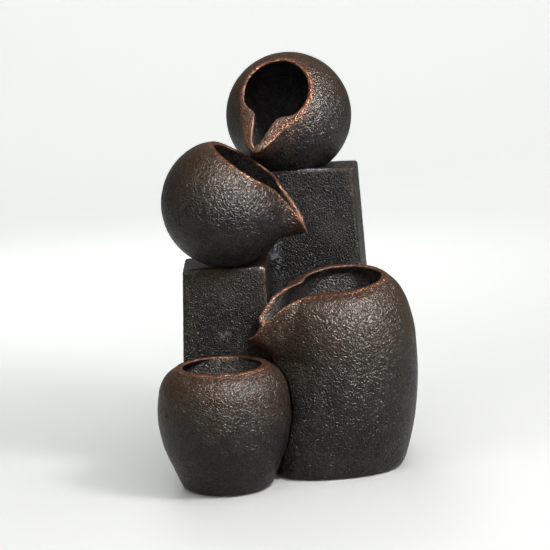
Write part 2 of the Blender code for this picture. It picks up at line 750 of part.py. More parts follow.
rotor = node(
    "impeller",
    lathe(
        [(SHAFT_R + GAP, ROTOR_X - 0.0005), (DISC_R, ROTOR_X - 0.0005), (DISC_R, ROTOR_X + 0.0012),
         (MAGNET_R, ROTOR_X + 0.0012), (MAGNET_R, WELL_END - 0.001), (SHAFT_R + GAP, WELL_END - 0.001)], 28,
        along_x(0, PY, PZ), ring=True,
    ),
    PLASTIC, (PX, PY, PZ),
)
for k in range(6):
    turn = Matrix.Translation((0, PY, PZ)) @ Matrix.Rotation(math.radians(60 * k + 12), 4, "X")
    blade = block((ROTOR_X - 0.0052, -0.0007, SHAFT_R + 0.002), (ROTOR_X + 0.0003, 0.0007, CHAMBER_R - 0.0022))
    bmesh.ops.transform(blade, matrix=turn, verts=blade.verts)
    boolean(rotor, node(f"add_blade_{k + 1}", blade, PLASTIC, smooth=0), "UNION")

# ---- intake strainer with its flow dial ----
CAGE_BACK = COVER_FACE - COVER_T - GAP
CAGE_FRONT = CAGE_BACK - 0.018
DIAL_R = 0.0125
cage = node(
    "intake_strainer",
    lathe(
        [(0.0028, CAGE_FRONT), (0.0170, CAGE_FRONT), (0.0182, CAGE_FRONT + 0.0015), (0.0182, CAGE_BACK),
         (0.0160, CAGE_BACK), (0.0160, CAGE_FRONT + 0.0022), (0.0028, CAGE_FRONT + 0.0022)], 32, along_x(0, PY, PZ),
        ring=True,
    ),
    PLASTIC, (PX, PY, PZ),
)
for k in range(5):
    z = PZ + (k - 2) * 0.0058
    slot = node(
        f"cut_intake_{k + 1}",
        block((CAGE_FRONT + 0.005, PY - 0.03, z - 0.0012), (CAGE_BACK - 0.004, PY + 0.03, z + 0.0012)),
        PLASTIC, smooth=0,
    )
    boolean(cage, slot)
for k in range(3):
    turn = Matrix.Translation((0, PY, PZ)) @ Matrix.Rotation(math.radians(120 * k), 4, "X")
    hole = lathe(rod(0.0024, CAGE_FRONT - 0.004, CAGE_FRONT + 0.004), 16, turn @ along_x(0, 0, 0.0078))
    boolean(cage, node(f"cut_cage_port_{k + 1}", hole, PLASTIC, smooth=0))
dial = node(
    "flow_dial",
    lathe(
        [(0, CAGE_FRONT + 0.004), (0.0025, CAGE_FRONT + 0.004), (0.0025, CAGE_FRONT - GAP), (DIAL_R, CAGE_FRONT - GAP),
         (DIAL_R, CAGE_FRONT - 0.0025), (0.0040, CAGE_FRONT - 0.0025), (0.0040, CAGE_FRONT - 0.0045),
         (0, CAGE_FRONT - 0.0045)], 32, along_x(0, PY, PZ),
    ),
    PLASTIC, (CAGE_FRONT, PY, PZ),
)
for k in range(3):
    turn = Matrix.Translation((0, PY, PZ)) @ Matrix.Rotation(math.radians(120 * k), 4, "X")
    hole = lathe(rod(0.0024, CAGE_FRONT - 0.01, CAGE_FRONT + 0.002), 16, turn @ along_x(0, 0, 0.0078))
    boolean(dial, node(f"cut_dial_port_{k + 1}", hole, PLASTIC, smooth=0))
pointer = block((CAGE_FRONT - 0.0034, PY - 0.0010, PZ + 0.0030), (CAGE_FRONT - 0.0020, PY + 0.0010, PZ + 0.0142))
bmesh.ops.rotate(pointer, verts=pointer.verts, cent=(0, PY, PZ), matrix=Matrix.Rotation(math.radians(60), 3, "X"))
boolean(dial, node("add_pointer", pointer, PLASTIC, smooth=0), "UNION")

# ---- pump feet ----
number = 0
for x in (BODY_FRONT + 0.011, BODY_BACK - 0.011):
    for y in (PY - 0.012, PY + 0.012):
        number += 1
        top = BODY_LOW - GAP
        node(
            f"suction_foot_{number}",
            lathe(
                [(0, TRAY_FLOOR + 0.0022), (0.0045, TRAY_FLOOR + 0.0012), (0.0075, TRAY_FLOOR + GAP),
                 (0.0080, TRAY_FLOOR + 0.0010), (0.0055, TRAY_FLOOR + 0.0028), (0.0040, top), (0, top)], 20, at(x, y),
            ),
            RUBBER, (x, y, top),
        )

# ---- outlet nozzle, riser hose, clamps ----
SOCKET = BODY_TOP - 0.006
BARB_TOP = BODY_TOP + 0.022
node(
    "outlet_nozzle",
    lathe(
        [(NOZZLE_BORE, SOCKET + GAP), (NOZZLE_R, SOCKET + GAP), (NOZZLE_R, BODY_TOP + 0.003), (BARB_R, BODY_TOP + 0.003),
         (BARB_R, BARB_TOP - 0.003), (BARB_R - 0.001, BARB_TOP), (NOZZLE_BORE, BARB_TOP)], 28, at(PX, PY), ring=True,
    ),
    PLASTIC, (PX, PY, BODY_TOP),
)
HOSE_LOW = BODY_TOP + 0.0035
TOP_BARB = TALL_TOP - WALL - 0.030
HOSE_HIGH = TOP_BARB + 0.018
OUT_X, OUT_Y = TOP_ORB.x + 0.006, TOP_ORB.y + 0.006
hose_path = []
for k in range(17):
    t = k / 16
    ease = table([(0, 0.0), (0.12, 0.0), (0.5, 0.5), (0.88, 1.0), (1, 1.0)], t)[0]
    sway = 0.016 * math.sin(math.pi * ease) ** 2
    hose_path.append(
        (PX + (OUT_X - PX) * ease + sway, PY + (OUT_Y - PY) * ease - 0.4 * sway, HOSE_LOW + (HOSE_HIGH - HOSE_LOW) * t)
    )
HOSE_R = HOSE_BORE / 2 + HOSE_WALL
node("riser_hose", tube(hose_path, HOSE_R, HOSE_BORE / 2, 24), VINYL, (PX, PY, HOSE_LOW))


def clamp(name, x, y, z):
    ring = node(
        name,
        lathe(
            [(HOSE_R + GAP, z), (HOSE_R + 0.0014, z), (HOSE_R + 0.0014, z + 0.007), (HOSE_R + GAP, z + 0.007)], 32,
            at(x, y), ring=True,
        ),
        STEEL, (x, y, z),
    )
    house = node(
        f"add_{name}",
        block((x - 0.005, y + HOSE_R + 0.0008, z + 0.0004), (x + 0.005, y + HOSE_R + 0.0060, z + 0.0066), 0.0008, 1),
        STEEL, smooth=0,
    )
    return boolean(ring, house, "UNION")


clamp("hose_clamp_lower", PX, PY, HOSE_LOW + 0.006)
clamp("hose_clamp_upper", OUT_X, OUT_Y, HOSE_HIGH - 0.013)

# ---- outlet through the pillar's top into the top orb ----
PLATE = TALL_TOP - WALL
ORB_FLOOR = TALL_TOP + GAP + FLOOR
STEM_R = BARB_R + 0.0020
FLANGE_R = STEM_R + 0.0055
stem_cut = node("cut_stem", lathe(rod(STEM_R + GAP, PLATE - 0.01, ORB_FLOOR + 0.012), 28, at(OUT_X, OUT_Y)), PLASTIC,
                smooth=0)
boolean(tall_pillar, stem_cut)
boolean(top_orb, stem_cut)
WASHER = 0.0016
node(
    "outlet_fitting",
    lathe(
        [(NOZZLE_BORE, TOP_BARB), (BARB_R - 0.001, TOP_BARB), (BARB_R, TOP_BARB + 0.003), (BARB_R, PLATE - 0.010),
         (STEM_R, PLATE - 0.010), (STEM_R, ORB_FLOOR + WASHER + 2 * GAP), (FLANGE_R, ORB_FLOOR + WASHER + 2 * GAP),
         (FLANGE_R, ORB_FLOOR + WASHER + 0.003), (STEM_R - 0.0005, ORB_FLOOR + WASHER + 0.0045),
         (STEM_R - 0.0013, ORB_FLOOR + 0.020), (NOZZLE_BORE, ORB_FLOOR + 0.020)], 28, at(OUT_X, OUT_Y), ring=True,
    ),
    PLASTIC, (OUT_X, OUT_Y, ORB_FLOOR),
)
node(
    "outlet_washer",
    lathe(
        [(STEM_R + GAP, ORB_FLOOR + GAP), (FLANGE_R, ORB_FLOOR + GAP), (FLANGE_R, ORB_FLOOR + GAP + WASHER),
         (STEM_R + GAP, ORB_FLOOR + GAP + WASHER)], 28, at(OUT_X, OUT_Y), ring=True,
    ),
    RUBBER, (OUT_X, OUT_Y, ORB_FLOOR),
)
nut_z = (PLATE - 0.0085, PLATE - GAP)
nut = node(
    "outlet_nut", lathe(rod(FLANGE_R + 0.001, *nut_z), 6, at(OUT_X, OUT_Y)), PLASTIC, (OUT_X, OUT_Y, nut_z[0]), smooth=0
)
boolean(nut, stem_cut)

# ---- filter sponge, across the way from the return pipe to the pump ----
SPONGE_T = 0.018
sponge_x = RETURN_X + RETURN_R + 0.005
node(
    "filter_sponge",
    block(
        (sponge_x, tray_y[0] + TRAY_WALL + 0.001, TRAY_FLOOR + GAP),
        (sponge_x + SPONGE_T, tray_y[1] - TRAY_WALL - 0.001, TRAY_TOP - 0.002), 0.0015, 1,
    ),
    SPONGE, (sponge_x + SPONGE_T / 2, RISER_Y, TRAY_FLOOR), smooth=0,
)

# ---- pads it stands on ----
PADS = (
    (SMALL_JAR.x - 0.035, SMALL_JAR.y - 0.020), (SMALL_JAR.x + 0.035, SMALL_JAR.y - 0.020),
    (TALL_JAR.x - 0.045, TALL_JAR.y - 0.045), (TALL_JAR.x + 0.050, TALL_JAR.y - 0.030),
    (tray_x[0] + 0.018, tray_y[1] - 0.018), (tray_x[1] - 0.018, tray_y[1] - 0.018),
)
for k, (x, y) in enumerate(PADS):
    node(
        f"foot_pad_{k + 1}",
        lathe([(0, 0), (0.0115, 0), (0.0120, 0.0005), (0.0120, STAND - GAP), (0, STAND - GAP)], 24, at(x, y)), RUBBER,
        (x, y, 0),
    )

# ---- the middle of the footprint's box goes to the origin ----
bpy.context.view_layer.update()
corners = [o.matrix_world @ v.co for o in bpy.data.objects if not o.hide_render for v in o.data.vertices]
MIDDLE = Vector((
    0.5 * (min(c.x for c in corners) + max(c.x for c in corners)),
    0.5 * (min(c.y for c in corners) + max(c.y for c in corners)), 0,
))
for obj in bpy.data.objects:
    obj.location -= MIDDLE
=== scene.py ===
"""The looks of the tiered water fountain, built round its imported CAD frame."""

import json
import math

import bpy
import numpy as np
from mathutils import Matrix, Vector, noise


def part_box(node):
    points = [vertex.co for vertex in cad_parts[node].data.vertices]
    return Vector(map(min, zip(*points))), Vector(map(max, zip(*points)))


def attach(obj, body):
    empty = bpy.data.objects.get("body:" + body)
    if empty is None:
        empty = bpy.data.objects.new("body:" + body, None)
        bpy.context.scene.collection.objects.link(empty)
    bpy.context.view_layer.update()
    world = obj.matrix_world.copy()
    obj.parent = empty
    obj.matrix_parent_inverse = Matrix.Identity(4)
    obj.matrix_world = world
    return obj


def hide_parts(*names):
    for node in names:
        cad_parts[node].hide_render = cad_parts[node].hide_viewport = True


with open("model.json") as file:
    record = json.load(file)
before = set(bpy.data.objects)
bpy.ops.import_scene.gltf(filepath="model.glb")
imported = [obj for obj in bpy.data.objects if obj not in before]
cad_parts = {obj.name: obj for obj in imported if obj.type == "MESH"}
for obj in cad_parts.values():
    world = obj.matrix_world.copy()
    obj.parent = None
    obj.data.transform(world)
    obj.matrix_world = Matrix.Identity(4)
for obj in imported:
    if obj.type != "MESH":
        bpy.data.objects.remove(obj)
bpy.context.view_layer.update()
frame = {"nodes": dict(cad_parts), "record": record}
NODES = frame["nodes"]
BODY = "fountain"
noise.seed_set(1)  # noise_vector draws its offsets from this seed, which otherwise comes from the clock

# ---- where the design's own coordinates lie in the row frame ----
PUMP_X, PUMP_Y = 0.028, 0.150  # the impeller's axis in the design's coordinates
nozzle_low, nozzle_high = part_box("outlet_nozzle")
shaft_low, shaft_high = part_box("impeller_shaft")
SHIFT = np.array([
    0.5 * (nozzle_low.x + nozzle_high.x) - PUMP_X,
    0.5 * (shaft_low.y + shaft_high.y) - PUMP_Y,
    0.0,
])

# ---- the castings' sizes, metres, as in the CAD ----
GAP, WALL, FLOOR, STAND = 0.0003, 0.009, 0.010, 0.002
TALL_TOP, TALL_X, TALL_Y = 0.494, (-0.079, 0.135), (0.095, 0.210)
SHORT_TOP, SHORT_X, SHORT_FRONT = 0.3495, (-0.1507, -0.0133), -0.033
SIDE_DRAFT, FRONT_DRAFT, SPLAY = (math.tan(math.radians(a)) for a in (2.8, 1.5, 4.0))
TOP_ORB, TOP_ORB_R = np.array([0.028, 0.155, 0.583]), 0.108
LEFT_ORB, LEFT_ORB_R = np.array([-0.0760, -0.002, 0.4535]), 0.107
TALL_JAR, TALL_JAR_R, TALL_JAR_H = np.array([0.110, 0.000, 0.0]), 0.122, 0.3185
SMALL_JAR, SMALL_JAR_R, SMALL_JAR_H = np.array([-0.087, -0.108, 0.0]), 0.109, 0.2010
TALL_BEAK = math.radians(210.0)
NEIGHBOUR_GAP = 0.0024  # between the tall jar and what stands beside it

# ---- the cast surface, metres ----
GRAIN = 0.0056  # size of the relief's pebbles
VESSEL_RELIEF, PILLAR_RELIEF, DOOR_RELIEF = 0.00040, 0.00030, 0.00008
ORB_LIP_BULGE, JAR_LIP_BULGE = 0.0017, 0.0016
LIP_WEAR, LIP_BLUSH, EDGE_WEAR = 0.0032, 0.030, 0.0040  # how far each fades out from an edge
FACE_DEPTH = 0.002  # a pillar's point this near a face's plane is on its outside
DOOR_DEPTH, DOOR_HALF, DOOR_TOP = 0.02, 0.10, 0.22  # the back's lower middle, whose rebate keeps crisp edges
VOXEL = 0.0029  # the remeshed pillars' cell
TINY = 1e-6


# ---- shape helpers ----
def curve(rows, x):
    """Smooth curves through rows of (x, value, value...), read at many x, which don't overshoot the rows."""
    rows = np.array(rows, float)
    xs, ys = rows[:, 0], rows[:, 1:]
    width = np.diff(xs)[:, None]
    slope = np.diff(ys, axis=0) / width
    ends = np.vstack([slope[:1], slope, slope[-1:]])
    before, after = ends[:-1], ends[1:]
    total = before + after
    tangent = np.where(before * after > 0, 2 * before * after / np.where(total == 0, 1, total), 0)
    x = np.clip(np.asarray(x, float), xs[0], xs[-1])
    k = np.clip(np.searchsorted(xs, x, side="left") - 1, 0, len(width) - 1)
    w = width[k, 0][..., None]
    t = ((x - xs[k])[..., None]) / w
    t2, t3 = t * t, t * t * t
    out = (2 * t3 - 3 * t2 + 1) * ys[k] + (t3 - 2 * t2 + t) * w * tangent[k]
    out += (3 * t2 - 2 * t3) * ys[k + 1] + (t3 - t2) * w * tangent[k + 1]
    return [out[..., c] for c in range(out.shape[-1])]


def around(count, gather):
    """Angles round a vessel from its beak, gathered towards it."""
    half = count // 2
    values = math.pi * (np.arange(half + 1) / half) ** gather
    return np.concatenate([-values[-2:0:-1], values])


def even(points, count):
    """Each column of points, (rows, columns, 3), read again at count places evenly along it."""
    out = np.empty((count, points.shape[1], 3))
    steps = np.linalg.norm(np.diff(points, axis=0), axis=2)
    lengths = np.vstack([np.zeros(points.shape[1]), np.cumsum(steps, axis=0)])
    share = np.linspace(0, 1, count)
    for c in range(points.shape[1]):
        at = share * lengths[-1, c]
        for k in range(3):
            out[:, c, k] = np.interp(at, lengths[:, c], points[:, c, k])
    return out


def smooth(x, low, high):
    t = np.clip((x - low) / (high - low), 0, 1)
    return t * t * (3 - 2 * t)


def grain(points, size, seed):
    """Pebbled casting relief, from about -1 in the valleys to 1 on the pebbles."""
    heights = np.empty(len(points))
    offset = Vector((seed, 2.7 * seed, -1.3 * seed))
    for k, p in enumerate(points):
        q = Vector(p) / size + offset
        q += 0.35 * noise.noise_vector(q * 0.9)
        worm = 1 - 3.2 * abs(noise.noise(q))
        heights[k] = 0.75 * worm + 0.55 * noise.noise(q * 2.1) + 0.6 * noise.noise(q * 0.31)
    return heights


def add_object(name, data):
    obj = bpy.data.objects.new(name, data)
    bpy.context.scene.collection.objects.link(obj)
    return obj


def cast_object(name, mesh, layers, mat):
    """One casting that rides on the fountain, with the point layers that its material reads."""
    for key, values in layers.items():
        layer = mesh.attributes.new(key, "FLOAT", "POINT")
        layer.data.foreach_set("value", np.asarray(values, np.float32))
    mesh.materials.clear()
    mesh.materials.append(mat)
    mesh.shade_smooth()
    obj = add_object(name, mesh)
    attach(obj, BODY)
    return obj


def skin(name, sections, poles, mat, seed, floor_z, back=None):
    """Skins a vessel: outside, lip and inside sections of points, closed by a pole at each end.

    No point goes under floor_z, or further in Y than back(z).
    """
    outer, lip, inner = sections
    rows = np.concatenate([outer, lip, inner])
    count, columns = rows.shape[:2]
    down = np.gradient(rows, axis=0)
    along = np.roll(rows, -1, axis=1) - np.roll(rows, 1, axis=1)
    normal = np.cross(along, down)
    normal /= np.maximum(np.linalg.norm(normal, axis=2, keepdims=True), 1e-12)
    inside = np.concatenate([np.zeros(len(outer)), np.linspace(0, 1, len(lip)), np.ones(len(inner))])
    inside = np.repeat(inside[:, None], columns, 1)
    # how near the lip's two edges each point is
    rim = np.linalg.norm(rows - lip[0][None], axis=2)
    rim_in = np.linalg.norm(rows - lip[-1][None], axis=2)
    wear = np.exp(-((np.minimum(rim, rim_in) / LIP_WEAR) ** 2))
    wear = np.maximum(wear, 0.42 * ((inside > 0) & (inside < 1)))
    near = np.exp(-((rim / LIP_BLUSH) ** 2))
    # how far down the inside each point lies; the material paints the bowl's light and shade by it
    deep = np.where(inside > 0.99, smooth(rim_in, 0.010, 0.075), 0.0)
    lifted = grain(rows.reshape(-1, 3), GRAIN, seed).reshape(count, columns)
    flat = smooth(rows[:, :, 2], floor_z + 0.0005, floor_z + 0.006)
    depth = VESSEL_RELIEF * flat * (1 - 0.6 * wear)
    rows = rows + normal * (depth * lifted)[:, :, None]
    rows[:, :, 2] = np.maximum(rows[:, :, 2], floor_z)
    if back:
        rows[:, :, 1] = np.minimum(rows[:, :, 1], back(rows[:, :, 2]))
    verts = np.concatenate([rows.reshape(-1, 3), np.array(poles)])
    index = np.arange(count * columns).reshape(count, columns)
    right = np.roll(index, -1, axis=1)
    quads = np.stack([index[:-1], right[:-1], right[1:], index[1:]], -1).reshape(-1, 4).tolist()
    first, last = count * columns, count * columns + 1
    quads += [[first, b, a] for a, b in zip(index[0].tolist(), right[0].tolist())]
    quads += [[last, a, b] for a, b in zip(index[-1].tolist(), right[-1].tolist())]
    top, bottom = rows[:, :, 2].max(), rows[:, :, 2].min()
    layers = {
        "wear": np.append(wear, (0, 0)),
        "lipward": np.append(near, (0, 0)),
        "bowl": np.append(inside, (0, 1)),
        "deep": np.append(deep, (0, 1)),
        "relief": np.append(lifted, (0, 0)),
        "rise": np.append((rows[:, :, 2] - bottom) / (top - bottom), (0, 0)),
    }
    mesh = bpy.data.meshes.new(name)
    mesh.from_pydata((verts + SHIFT).tolist(), [], quads)
    return cast_object(name, mesh, layers, mat)


# ---- the pillars' planes ----
def tall_front(z):
    return TALL_Y[0] - (TALL_TOP - z) * FRONT_DRAFT


def tall_side(z, y, right):
    out = (TALL_TOP - z) * SIDE_DRAFT + (y - TALL_Y[0]) * SPLAY
    return TALL_X[1] + out if right else TALL_X[0] - out


def short_front(z):
    return SHORT_FRONT - (SHORT_TOP - z) * FRONT_DRAFT


def short_side(z, y, right):
    if right:
        return SHORT_X[1] + 0.5 * (SHORT_TOP - z) * SIDE_DRAFT
    return SHORT_X[0] - (SHORT_TOP - z) * SIDE_DRAFT - (y - SHORT_FRONT) * SPLAY


# ---- vessels ----
def lip_between(outer, inner, up, bulge, count=15):
    """A lip from the outer edge to the inner one: flat, with rounded shoulders."""
    s = np.linspace(0, 1, count)[1:-1, None, None]
    return outer + (inner - outer) * s + np.asarray(up) * (bulge * (1 - np.abs(2 * s - 1) ** 3.5))


def orb(name, centre, radius, beak, normal, rims, ends, cut, mat, seed, back=None, columns=400):
    """A spouted orb, cut flat at the height cut, whose mouth faces along normal and pours towards beak."""
    n = np.array(normal) / np.linalg.norm(normal)
    b = np.array(beak) - n * np.dot(beak, n)
    b /= np.linalg.norm(b)
    axes = np.stack([b, np.cross(n, b), n], axis=1)
    turns = around(columns, 1.25)
    turn = np.degrees(np.abs(turns))
    end, start, power = curve(ends, turn)

    def shell(scale, rim, t, low, inset):
        rho, rise = curve(rim, turn)
        theta = np.radians(end)[None] * t[:, None]
        last = np.radians(end)
        w = np.clip((np.degrees(theta) - start) / (end - start), 0, None) ** power
        r = scale * np.sin(theta) + w * (rho - scale * np.sin(last))
        h = -scale * np.cos(theta) + w * (rise + scale * np.cos(last))
        p = np.stack([r * np.cos(turns), r * np.sin(turns), h], -1) * radius
        p = centre + p @ axes.T
        p[..., 2] = np.maximum(p[..., 2], low)
        if back:
            p[..., 1] = np.minimum(p[..., 1], back(p[..., 2]) - inset)
        return p

    t = np.linspace(0, 1, 500)
    floor = cut + FLOOR
    outside = shell(1.0, rims[0], t, cut, GAP)
    inside = shell(1.0 - WALL / radius, rims[1], t[::-1], floor, GAP + WALL)
    lip = lip_between(outside[-1], inside[0], n, ORB_LIP_BULGE)
    sections = (even(outside, 150)[1:], lip, even(inside, 76)[:-1])
    poles = (outside[0, 0], inside[-1, 0])
    return skin(name, sections, poles, mat, seed, cut, (lambda z: back(z) - GAP) if back else None)


TOP_RIM = [  # degrees from the beak, distance from the mouth's axis, height along it, over the radius
    (0, 1.030, 0.905), (4, 1.005, 0.905), (9, 0.950, 0.900), (17, 0.830, 0.890), (31, 0.670, 0.865),
    (50, 0.590, 0.830), (75, 0.570, 0.800), (110, 0.600, 0.785), (180, 0.655, 0.765),
]
TOP_INNER = [
    (0, 0.935, 0.915), (4, 0.860, 0.915), (9, 0.700, 0.905), (17, 0.530, 0.885), (26, 0.440, 0.870),
    (36, 0.425, 0.855), (50, 0.460, 0.830), (62, 0.490, 0.815), (75, 0.500, 0.800), (110, 0.540, 0.785),
    (180, 0.600, 0.765),
]
TOP_END = [  # degrees from the beak, polar angle the sphere ends at, where the pull starts, its power
    (0, 128, 94, 2.0), (30, 134, 100, 2.0), (60, 141, 108, 2.0), (100, 143, 118, 2.0), (180, 139.5, 120, 2.0),
]
LEFT_RIM = [
    (0, 1.285, 0.410), (3, 1.240, 0.445), (7, 1.170, 0.490), (13, 1.030, 0.560), (22, 0.780, 0.640),
    (38, 0.640, 0.690), (60, 0.650, 0.700), (90, 0.720, 0.675), (130, 0.745, 0.640), (180, 0.765, 0.610),
]
LEFT_INNER = [
    (0, 1.200, 0.430), (3, 1.150, 0.460), (7, 1.070, 0.505), (13, 0.920, 0.570), (22, 0.670, 0.645),
    (30, 0.550, 0.675), (38, 0.530, 0.690), (50, 0.560, 0.700), (90, 0.635, 0.675), (130, 0.660, 0.640),
    (180, 0.680, 0.610),
]
LEFT_END = [
    (0, 111, 93, 1.35), (7, 115, 92, 1.60), (13, 120, 93, 1.90), (22, 128, 95, 2.1), (38, 136, 104, 2.0),
    (60, 137, 110, 2.0), (90, 133, 112, 2.0), (180, 128.6, 112, 2.0),
]
SMALL_PROFILE = [  # share of the way up, radius over the widest, height over the mouth's
    (0.00, 0.000, 0.000), (0.10, 0.350, 0.000), (0.24, 0.668, 0.000), (0.26, 0.685, 0.020),
    (0.40, 0.800, 0.170), (0.55, 0.945, 0.390), (0.68, 1.000, 0.600), (0.80, 0.965, 0.800),
    (0.90, 0.860, 0.930), (1.00, 0.700, 1.000),
]
TALL_PROFILE = [
    (0.00, 0.000, 0.000), (0.10, 0.400, 0.000), (0.18, 0.720, 0.000), (0.23, 0.765, 0.018),
    (0.36, 0.865, 0.130), (0.50, 0.962, 0.320), (0.63, 1.000, 0.520), (0.75, 0.985, 0.700),
    (0.86, 0.905, 0.855), (0.94, 0.780, 0.955), (1.00, 0.640, 1.000),
]
TALL_RIM = [  # degrees from the beak, radius, height below the middle of the mouth, metres
    (0, 0.1790, 0.0805), (3, 0.1730, 0.0750), (7, 0.1560, 0.0500), (13, 0.1270, 0.0140),
    (21, 0.1010, 0.0020), (32, 0.0890, 0.0000), (48, 0.0825, 0.0000), (70, 0.0785, 0.0000),
    (180, 0.0765, 0.0040),
]
TALL_INNER = [
    (0, 0.1710, 0.0785), (3, 0.1630, 0.0715), (7, 0.1440, 0.0450), (13, 0.1130, 0.0100),
    (21, 0.0860, 0.0005), (28, 0.0730, 0.0000), (36, 0.0640, 0.0000), (46, 0.0640, 0.0000),
    (60, 0.0665, 0.0000), (180, 0.0675, 0.0040),
]
TALL_END = [  # degrees from the beak, share of the profile the pull ends at, where it starts, its power
    (0, 0.795, 0.60, 2.6), (7, 0.840, 0.60, 2.5), (13, 0.900, 0.61, 2.3), (21, 0.960, 0.62, 2.2),
    (32, 1.000, 0.65, 2.0), (180, 1.000, 0.80, 2.0),
]
MOUTH_SLOPE = (0.08, 0.165)  # rise of the mouth towards +X and +Y
SKIRT, SKIRT_TURN, SKIRT_TOP = 0.045, 42.0, 0.62  # the foot's swelling under the beak, to meet the small jar


def small_jar(mat, columns=380):
    angles = 2 * math.pi * np.arange(columns) / columns

    def shell(t, wall):
        r, h = curve(SMALL_PROFILE, t)
        z = (STAND + h * (SMALL_JAR_H - STAND))[:, None] + 0 * angles
        radius = (SMALL_JAR_R * r)[:, None] + 0 * angles
        if wall:
            radius = np.maximum(0, radius - wall * np.where(t > 0.95, 1.3, 1.0)[:, None])
            z = np.maximum(z, STAND + FLOOR)
        sine = np.maximum(np.sin(angles), TINY)
        limit = (short_front(z) - 2 * GAP - wall - SMALL_JAR[1]) / sine
        radius = np.where(np.sin(angles) > TINY, np.minimum(radius, limit), radius)
        radius = radius * np.minimum(1.0, t / 0.26)[:, None]
        return SMALL_JAR + np.stack([radius * np.cos(angles), radius * np.sin(angles), z], -1)

    t = np.linspace(0, 1, 500)
    outside, inside = shell(t, 0.0), shell(t[::-1], WALL)
    lip = lip_between(outside[-1], inside[0], (0, 0, 1), JAR_LIP_BULGE)
    sections = (even(outside, 165)[1:], lip, even(inside, 90)[:-1])
    poles = (outside[0, 0], inside[-1, 0])
    return skin("small_jar_cast", sections, poles, mat, 3.1, STAND, lambda z: short_front(z) - 2 * GAP)


def small_radius(z):
    share = (z - STAND) / (SMALL_JAR_H - STAND)
    return SMALL_JAR_R * curve([(h, r) for _, r, h in SMALL_PROFILE[3:]], share)[0]


def reach(cosine, sine, z, gap):
    """How far a point of the tall jar may go before it meets the small jar or a pillar."""
    far = np.ones_like(z)
    r = small_radius(z) + gap
    to = SMALL_JAR - TALL_JAR
    mid = to[0] * cosine + to[1] * sine
    off = to @ to - mid * mid + 0 * z
    hit = (mid > 0) & (off < r * r)
    far = np.where(hit, np.minimum(far, mid - np.sqrt(np.maximum(r * r - off, 0))), far)
    wall = (tall_front(z) - GAP - gap * 0.2 - TALL_JAR[1]) / np.where(sine > TINY, sine, 1)
    far = np.where(sine > TINY, np.minimum(far, wall), far)
    corner_x = short_side(z, 0, True) + gap - TALL_JAR[0]
    corner_y = short_front(z) - gap - TALL_JAR[1]
    side = corner_x / np.where(cosine < -TINY, cosine, -1)
    beyond = side * sine > corner_y
    slant = (corner_y - corner_x) / np.where(sine - cosine > TINY, sine - cosine, 1)
    near = np.where(beyond, side, np.where(sine - cosine > TINY, slant, 1.0))
    return np.where(cosine < -TINY, np.minimum(far, near), far)


def tall_jar(mat, columns=400):
    turns = around(columns, 1.2)
    turn = np.degrees(np.abs(turns))
    end, start, power = curve(TALL_END, turn)
    cosine, sine = np.cos(TALL_BEAK + turns), np.sin(TALL_BEAK + turns)
    rise = TALL_JAR_H - STAND

    def shell(t, wall):
        s = end[None] * t[:, None]
        r, h = curve(TALL_PROFILE, s)
        last_r, last_h = curve(TALL_PROFILE, end)
        swell = SKIRT * np.exp(-((turn / SKIRT_TURN) ** 2)) * np.maximum(0, 1 - h / SKIRT_TOP) ** 0.8
        radius = TALL_JAR_R * r + swell * np.minimum(1, r / 0.5)
        z = STAND + rise * h
        rho, drop = curve(TALL_INNER if wall else TALL_RIM, turn)
        slope = MOUTH_SLOPE[0] * cosine + MOUTH_SLOPE[1] * sine
        rim_z = TALL_JAR_H - drop + rho * slope * (1 - np.minimum(1.0, drop / 0.06))
        w = np.clip((s - start) / (end - start), 0, None) ** power
        last = TALL_JAR_R * last_r - wall
        if wall:
            radius = np.maximum(0, radius - wall)
            z = np.maximum(z, STAND + FLOOR)
        radius = radius + w * (rho - last)
        z = z + w * (rim_z - (STAND + rise * last_h))
        held = (radius > 0.02) & ((w < 0.2) | (turns < 0))
        limit = reach(cosine, sine, z, NEIGHBOUR_GAP) - wall
        radius = np.where(held, np.minimum(radius, limit), radius)
        return TALL_JAR + np.stack([radius * cosine, radius * sine, z], -1)

    t = np.linspace(0, 1, 600)
    outside, inside = shell(t, 0.0), shell(t[::-1], WALL)
    lip = lip_between(outside[-1], inside[0], (0, 0, 1), JAR_LIP_BULGE)
    sections = (even(outside, 215)[1:], lip, even(inside, 110)[:-1])
    poles = (outside[0, 0], inside[-1, 0])
    return skin("tall_jar_cast", sections, poles, mat, 7.7, STAND, lambda z: tall_front(z) - GAP)


